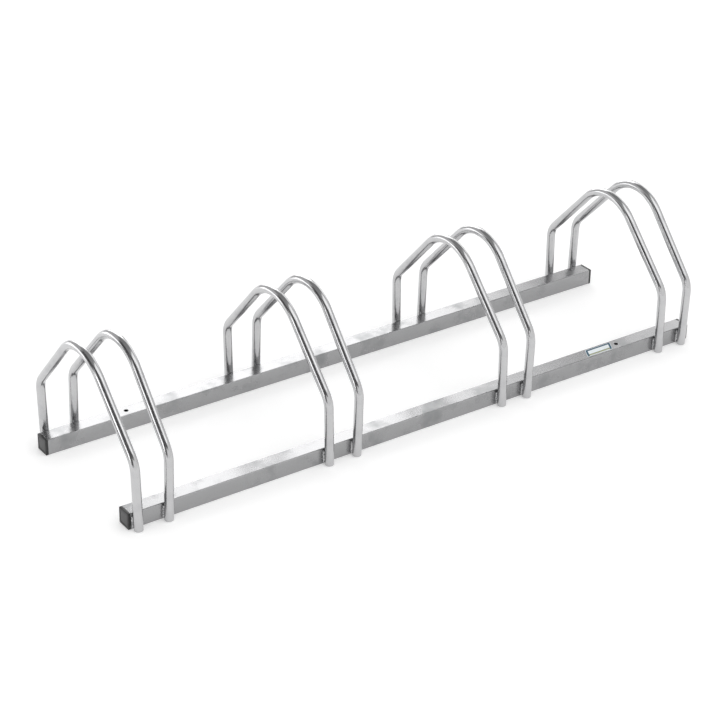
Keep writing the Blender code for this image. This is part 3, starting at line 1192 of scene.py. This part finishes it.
@dataclass(frozen=True)
class EndCaps:
    """The four plugs in the rails' ends. Lengths are from the flange's inner face outwards.

    Attributes:
        plug_length: length of the hollow plug inside the rail.
        plug_gap: clearance between the plug and the rail's bore.
        plug_wall: thickness of the plug's wall.
        plug_corner: radius of the plug's corners.
        flange_edge: radius of the flange's outer edges.
        back_edge: radius of the flange's inner edges.
        panel_margin: distance from the flange's side to its sunk panel.
        panel_corner: radius of the panel's corners.
        panel_depth: depth of the panel's edge under the flange's face.
        panel_crown: height of the panel's middle over its edge.
        edge_steps: number of steps round the flange's outer edges.
        dome_steps: number of rings from the panel's edge to its middle.
        flat_marks: number of points on a flat.
        flat_reach: share of the flat over which they are spread.
        support: distance from a flat's end to the point that keeps its shading flat.
        slot: name of a material slot; not used.
    """

    plug_length: float = 14.0 * MM
    plug_gap: float = 0.3 * MM
    plug_wall: float = 2.0 * MM
    plug_corner: float = 0.8 * MM
    flange_edge: float = 1.2 * MM
    back_edge: float = 0.3 * MM
    panel_margin: float = 4.5 * MM
    panel_corner: float = 0.8 * MM
    panel_depth: float = 0.4 * MM
    panel_crown: float = 0.25 * MM
    edge_steps: int = 4
    dome_steps: int = 6
    flat_marks: int = 5
    flat_reach: float = 0.75
    support: float = 0.5 * MM
    slot: str = "cap_plastic"

    def profile(self, half: float, flange: float, rails: Rails) -> np.ndarray:
        """Half outline of a cap from the pocket's bottom, round the plug and flange, to the panel.

        Args:
            half: half the flange's side.
            flange: thickness of the flange.
            rails: the rails that the plug fits.

        Returns:
            One row of length, half side and corner radius for each ring. The first and last are poles.
        """
        plug = half - rails.wall - self.plug_gap
        pocket = plug - self.plug_wall
        inner = self.plug_corner / 2
        tip = -self.plug_length
        panel = half - self.panel_margin
        sunk = flange - self.panel_depth
        corner = rails.corner_radius
        turn = np.linspace(0, np.pi / 2, self.edge_steps + 1)
        outer_edge = np.stack(
            [
                flange - self.flange_edge * (1 - np.sin(turn)),
                half - self.flange_edge * (1 - np.cos(turn)),
                corner - self.flange_edge * (1 - np.cos(turn)),
            ],
            axis=1,
        )
        share = np.linspace(1, 0, self.dome_steps + 1)[1:, None]
        domed = sunk + self.panel_crown * (1 - share**2)
        dome = np.concatenate([domed, panel * share, self.panel_corner * share], axis=1)
        rings = [
            [[0.0, 0.0, 0.0]],
            [[0.0, pocket, inner]],
            [[tip + inner, pocket, inner], [tip, pocket + inner, inner]],
            [[tip, plug - inner, inner], [tip + inner, plug, self.plug_corner]],
            [[-inner, plug, self.plug_corner], [0.0, plug, self.plug_corner]],
            [[0.0, half - self.back_edge, corner - self.back_edge], [self.back_edge, half, corner]],
            outer_edge,
            [[flange, panel + inner, self.panel_corner + inner], [flange, panel, self.panel_corner]],
            [[sunk, panel, self.panel_corner]],
            dome,
        ]
        return np.concatenate([np.array(part) for part in rings])

    def surface(self, row: Row, side: Side, rails: Rails) -> Surface:
        """Carry a rounded square ring along the profile, mirrored for the left end.

        Args:
            row: which rail the cap closes.
            side: which end of it.
            rails: the rails.

        Returns:
            The cap's surface.
        """
        box = NodeBox.of(f"end_cap_{row.word}_{side.word}")
        half = box.size[2] / 2
        flange = box.size[0] - self.plug_length
        length, half_side, radius = self.profile(half, flange, rails).T
        edge_mark = 1 - self.support / half
        inner_marks = np.linspace(-self.flat_reach, self.flat_reach, self.flat_marks)
        marks = np.concatenate([[-edge_mark], inner_marks, [edge_mark]])
        ring = RoundedRing(marks, CORNER_STEPS)
        section = ring.at(np.repeat(half_side[:, None], 2, axis=1), radius)
        root = box.high[0] - flange if side is Side.RIGHT else box.low[0] + flange
        xs = np.repeat((root + side.value * length)[:, None], section.shape[1], axis=1)
        points = np.concatenate([xs[..., None], section + box.centre[1:]], axis=-1)
        return Surface.grid(points, False, True)

    def build(self, rails: Rails) -> None:
        """Make the caps and dress them.

        Args:
            rails: the rails whose ends they close.
        """
        rear = NodeBox.of("rear_rail")
        axis_y, axis_z = rear.centre[1:]
        material = MouldedPlastic(axis_y, axis_z, rear.size[2] / 2 - self.panel_margin).material()
        for row in Row:
            for side in Side:
                place = f"{row.word}_{side.word}"
                surface = self.surface(row, side, rails)
                add_piece(f"cap_{place}", surface, f"end_cap_{place}", material)


@dataclass(frozen=True)
class Sticker:
    """The plain printed film on the front rail, where the maker's would be.

    Attributes:
        length: length of the film.
        width: width of the film.
        slant: angle by which its ends lean to the right towards the back.
        thickness: thickness of the film.
        lift: height of its underside over the rail, which keeps the two faces apart.
        corner_radius: radius of its corners.
        edge: radius of its upper edge.
        shoulder: share of the edge's radius by which its upper chamfer is set in and down.
        turn: angle by which it was stuck on askew.
        flat_marks: number of points on a side.
        flat_reach: share of the side over which they are spread.
        slot: name of a material slot; not used.
    """

    length: float = 59.0 * MM
    width: float = 22.0 * MM
    slant: float = math.radians(26.5)
    thickness: float = 0.25 * MM
    lift: float = 0.02 * MM
    corner_radius: float = 1.5 * MM
    edge: float = 0.1 * MM
    shoulder: float = 0.3
    turn: float = math.radians(-0.4)
    flat_marks: int = 7
    flat_reach: float = 0.9
    slot: str = "label_film"

    def build(self) -> None:
        """Make the film from rounded rings between two poles, push its back to the right, and dress it."""
        box = NodeBox.of("blank_label")
        floor = NodeBox.of("front_rail").high[2] + self.lift
        top = floor + self.thickness
        edge = self.edge / self.corner_radius
        inset = np.array([1.0, edge, self.shoulder * edge, 0.0, 0.0, 1.0])
        height = np.array([top, top, top - self.shoulder * self.edge, top - self.edge, floor, floor])
        half_size = np.array([self.length, self.width]) / 2
        half = half_size[None] - inset[:, None] * self.corner_radius
        radius = self.corner_radius * (1 - inset)
        half[[0, -1]] = 0.0
        marks = np.linspace(-self.flat_reach, self.flat_reach, self.flat_marks)
        section = RoundedRing(marks, CORNER_STEPS).at(half, radius)
        section[..., 0] += section[..., 1] * math.tan(self.slant)
        sine, cosine = math.sin(self.turn), math.cos(self.turn)
        turned = section @ np.array([[cosine, sine], [-sine, cosine]]) + box.centre[:2]
        heights = np.repeat(height[:, None], section.shape[1], axis=1)
        points = np.concatenate([turned, heights[..., None]], axis=-1)
        vinyl = PrintedVinyl((*box.centre[:2], top), tuple(half_size), math.tan(self.slant))
        film = Surface.grid(points, False, True)
        add_piece("plain_sticker", film, "blank_label", vinyl.material())


@dataclass(frozen=True)
class Standing:
    """Where something stands round the rack, facing its middle.

    Attributes:
        azimuth: direction in degrees: 0 is behind the rack, 90 to its right.
        elevation: height as an angle over the floor, in degrees.
        distance: distance from the rack's middle.
        width: its width.
        height: its height.
    """

    azimuth: float
    elevation: float
    distance: float
    width: float
    height: float

    @property
    def away(self) -> Vector:
        """Unit vector from the rack's middle towards it."""
        azimuth, elevation = math.radians(self.azimuth), math.radians(self.elevation)
        level = math.cos(elevation)
        return Vector((math.sin(azimuth) * level, math.cos(azimuth) * level, math.sin(elevation)))

    @property
    def turn(self) -> Euler:
        """Rotation that makes its local Z point away from the rack and keeps its width level."""
        return self.away.to_track_quat("Z", "Y").to_euler()


@dataclass(frozen=True)
class SoftBox:
    """A soft rectangular lamp that looks at the rack.

    Attributes:
        name: name of the lamp.
        place: where it stands.
        radiance: its brightness, where 1 is white.
    """

    name: str
    place: Standing
    radiance: float

    def build(self) -> None:
        """Place the lamp. A lamp's power is pi times its area times its brightness."""
        lamp = bpy.data.lights.new(self.name, "AREA")
        lamp.shape = "RECTANGLE"
        lamp.size = self.place.width
        lamp.size_y = self.place.height
        lamp.energy = math.pi * self.place.width * self.place.height * self.radiance
        thing = bpy.data.objects.new(self.name, lamp)
        thing.location = self.place.away * self.place.distance
        thing.rotation_euler = self.place.turn
        bpy.context.scene.collection.objects.link(thing)


def add_sheet(name: str, width: float, height: float, material: bpy.types.Material) -> bpy.types.Object:
    """Add a level rectangle about the origin, which isn't part of the rack.

    Args:
        name: its name.
        width: its length along X.
        height: its length along Y.
        material: its finish.

    Returns:
        The rectangle.
    """
    corners = np.array([[-1, -1, 0], [1, -1, 0], [1, 1, 0], [-1, 1, 0]]) * (width / 2, height / 2, 0)
    mesh = bpy.data.meshes.new(name)
    mesh.from_pydata(corners.tolist(), [], [(0, 1, 2, 3)])
    mesh.materials.append(material)
    sheet = bpy.data.objects.new(name, mesh)
    bpy.context.scene.collection.objects.link(sheet)
    return sheet


@dataclass(frozen=True)
class BlackCard:
    """A black card beside a lamp, as photographers of bright metal use, outside the picture.

    Strong light turns its black paper a dark grey.

    Attributes:
        name: name of the card.
        place: where it stands.
        colour: colour of its paper as lit.
    """

    name: str
    place: Standing
    colour: str = "#595959"

    def build(self) -> None:
        """Make the card as one rectangle that only reflections show."""
        material, tree = new_tree(f"{self.name}_paper")
        paper = add_node(tree, "BsdfDiffuse", {"Color": linear(self.colour)})
        add_node(tree, "OutputMaterial", {"Surface": paper})
        card = add_sheet(self.name, self.place.width, self.place.height, material)
        card.location = self.place.away * self.place.distance
        card.rotation_euler = self.place.turn
        card.visible_camera = False
        card.visible_diffuse = False
        card.visible_shadow = False


@dataclass(frozen=True)
class Studio:
    """Pale floor, white walls with a dim ceiling, soft lamps, black cards and the photograph's camera.

    Attributes:
        floor_side: the floor's side.
        floor_drop: distance of the floor under the level that the rack stands on.
        floor_colour: colour of the floor's paint.
        floor_glow: brightness added to the floor where the camera or a reflection looks at it.
        wall_colour: colour of the walls' and the ceiling's light.
        wall_light: brightness of the walls up to the ceiling's edge.
        wall_tilt: shares by which the walls are brighter to the right, to the back and above. Less
            than 0 is brighter on the other side.
        ceiling_light: brightness of the ceiling.
        ceiling_from: sine of the elevation at which the walls start to darken.
        ceiling_to: sine of the elevation at which the ceiling is even.
        camera_azimuth: direction from which the camera looks, in degrees: 0 is in front, 90 to the right.
        camera_elevation: its height as an angle, in degrees.
        camera_roll: its turn about its own axis, in degrees.
        camera_distance: its distance from the target.
        camera_target: the point that it looks at.
        focal_pixels: its focal length in pixels of the photograph.
        lamps: the soft lamps.
        cards: the black cards.
    """

    floor_side: float = 80.0
    floor_drop: float = 0.2 * MM
    floor_colour: str = "#EDEDED"
    floor_glow: float = 0.3
    wall_colour: str = "#FFFFFF"
    wall_light: float = 0.83
    wall_tilt: tuple[float, float, float] = (0.0, -0.26, 0.0)
    ceiling_light: float = 0.33
    ceiling_from: float = 0.65
    ceiling_to: float = 0.75
    camera_azimuth: float = -35.21
    camera_elevation: float = 28.85
    camera_roll: float = 1.138
    camera_distance: float = 3.828948
    camera_target: tuple[float, float, float] = (-0.04181, 0.0, 0.075404)
    focal_pixels: float = 2164.619
    lamps: tuple[SoftBox, ...] = (
        SoftBox("back_soft_box", Standing(22.4, 25.0, 6.0, 3.57, 4.2), 2.15),
        SoftBox("right_soft_box", Standing(64.0, 26.0, 4.0, 2.0, 2.0), 0.85),
        SoftBox("low_back_soft_box", Standing(-42.5, 7.2, 2.55, 1.85, 0.62), 1.9),
        SoftBox("left_soft_box", Standing(-108.0, 14.7, 2.8, 3.2, 1.0), 1.7),
        SoftBox("high_front_soft_box", Standing(161.0, 62.6, 4.1, 4.0, 2.9), 1.2),
    )
    cards: tuple[BlackCard, ...] = (
        BlackCard("front_black_card", Standing(-143.0, 44.0, 2.27, 2.86, 0.94)),
        BlackCard("tall_black_card", Standing(-123.0, 30.0, 1.85, 1.0, 2.0)),
        BlackCard("left_black_card", Standing(-86.0, 5.5, 1.5, 0.46, 0.28)),
        BlackCard("high_left_black_card", Standing(-75.0, 33.0, 1.94, 1.1, 1.14)),
    )

    def build_floor(self) -> None:
        """Make the floor as one square just under the rack."""
        material, tree = new_tree("pale_floor_paint")
        rays = add_node(tree, "LightPath").outputs
        shown = rays["Is Camera Ray"]
        for ray in ("Is Glossy Ray", "Is Transmission Ray"):
            shown = add_node(tree, "Math", {0: shown, 1: rays[ray]}, operation="MAXIMUM")
        strength = add_node(tree, "Math", {0: shown, 1: self.floor_glow}, operation="MULTIPLY")
        paint = add_node(tree, "BsdfDiffuse", {"Color": linear(self.floor_colour)})
        glow = add_node(tree, "Emission", {"Strength": strength})
        both = add_node(tree, "AddShader", {0: paint, 1: glow})
        add_node(tree, "OutputMaterial", {"Surface": both})
        floor = add_sheet("floor", self.floor_side, self.floor_side, material)
        floor.location = (0.0, 0.0, -self.floor_drop)

    def build_world(self) -> None:
        """Surround the rack with walls.

        Their brightness falls to the ceiling's with the direction's height, and changes evenly from
        one side of the studio to the other.
        """
        world = bpy.data.worlds.new("white_studio")
        world.use_nodes = True
        bpy.context.scene.world = world
        tree = world.node_tree
        tree.nodes.clear()
        direction = add_node(tree, "TexCoord").outputs["Generated"]
        height = add_node(tree, "SeparateXYZ", {"Vector": direction}).outputs["Z"]
        levels = {
            "Value": height,
            "From Min": self.ceiling_from,
            "From Max": self.ceiling_to,
            "To Min": self.wall_light,
            "To Max": self.ceiling_light,
        }
        even = add_node(tree, "MapRange", levels, interpolation_type=Fade.SOFT.value)
        sideways = {0: direction, 1: self.wall_tilt}
        tilt = add_node(tree, "VectorMath", sideways, operation="DOT_PRODUCT")
        tilted = add_node(tree, "Math", {0: tilt, 1: even, 2: even}, operation="MULTIPLY_ADD")
        light = {"Color": linear(self.wall_colour), "Strength": tilted}
        background = add_node(tree, "Background", light)
        add_node(tree, "OutputWorld", {"Surface": background})

    def build_camera(self) -> None:
        """Place the camera from its angles, as right, up and backward axes turned by the roll."""
        azimuth, elevation = math.radians(self.camera_azimuth), math.radians(self.camera_elevation)
        roll = math.radians(self.camera_roll)
        back = Vector(
            (
                math.sin(azimuth) * math.cos(elevation),
                -math.cos(azimuth) * math.cos(elevation),
                math.sin(elevation),
            )
        )
        right = Vector((math.cos(azimuth), math.sin(azimuth), 0.0))
        up = back.cross(right)
        rolled_right = math.cos(roll) * right + math.sin(roll) * up
        rolled_up = math.cos(roll) * up - math.sin(roll) * right
        data = bpy.data.cameras.new("camera")
        data.lens = self.focal_pixels / PHOTO_SIDE * data.sensor_width
        camera = bpy.data.objects.new("camera", data)
        turned = Matrix((rolled_right, rolled_up, back)).transposed().to_4x4()
        eye = Vector(self.camera_target) + back * self.camera_distance
        camera.matrix_world = Matrix.Translation(eye) @ turned
        bpy.context.scene.collection.objects.link(camera)
        bpy.context.scene.camera = camera

    def build(self) -> None:
        """Set up the whole studio."""
        self.build_floor()
        self.build_world()
        self.build_camera()
        for thing in (*self.lamps, *self.cards):
            thing.build()
        bpy.context.scene.view_settings.view_transform = "Standard"


def main() -> None:
    """Build the rack and its studio, in order."""
    logging.basicConfig(level=logging.INFO, format="%(name)s: %(message)s")
    rails = Rails()
    hoops = Hoops()
    rails.build()
    hoops.build()
    WeldBeads(hoops).build()
    EndCaps().build(rails)
    Sticker().build()
    Studio().build()


if __name__ == "__main__":
    main()
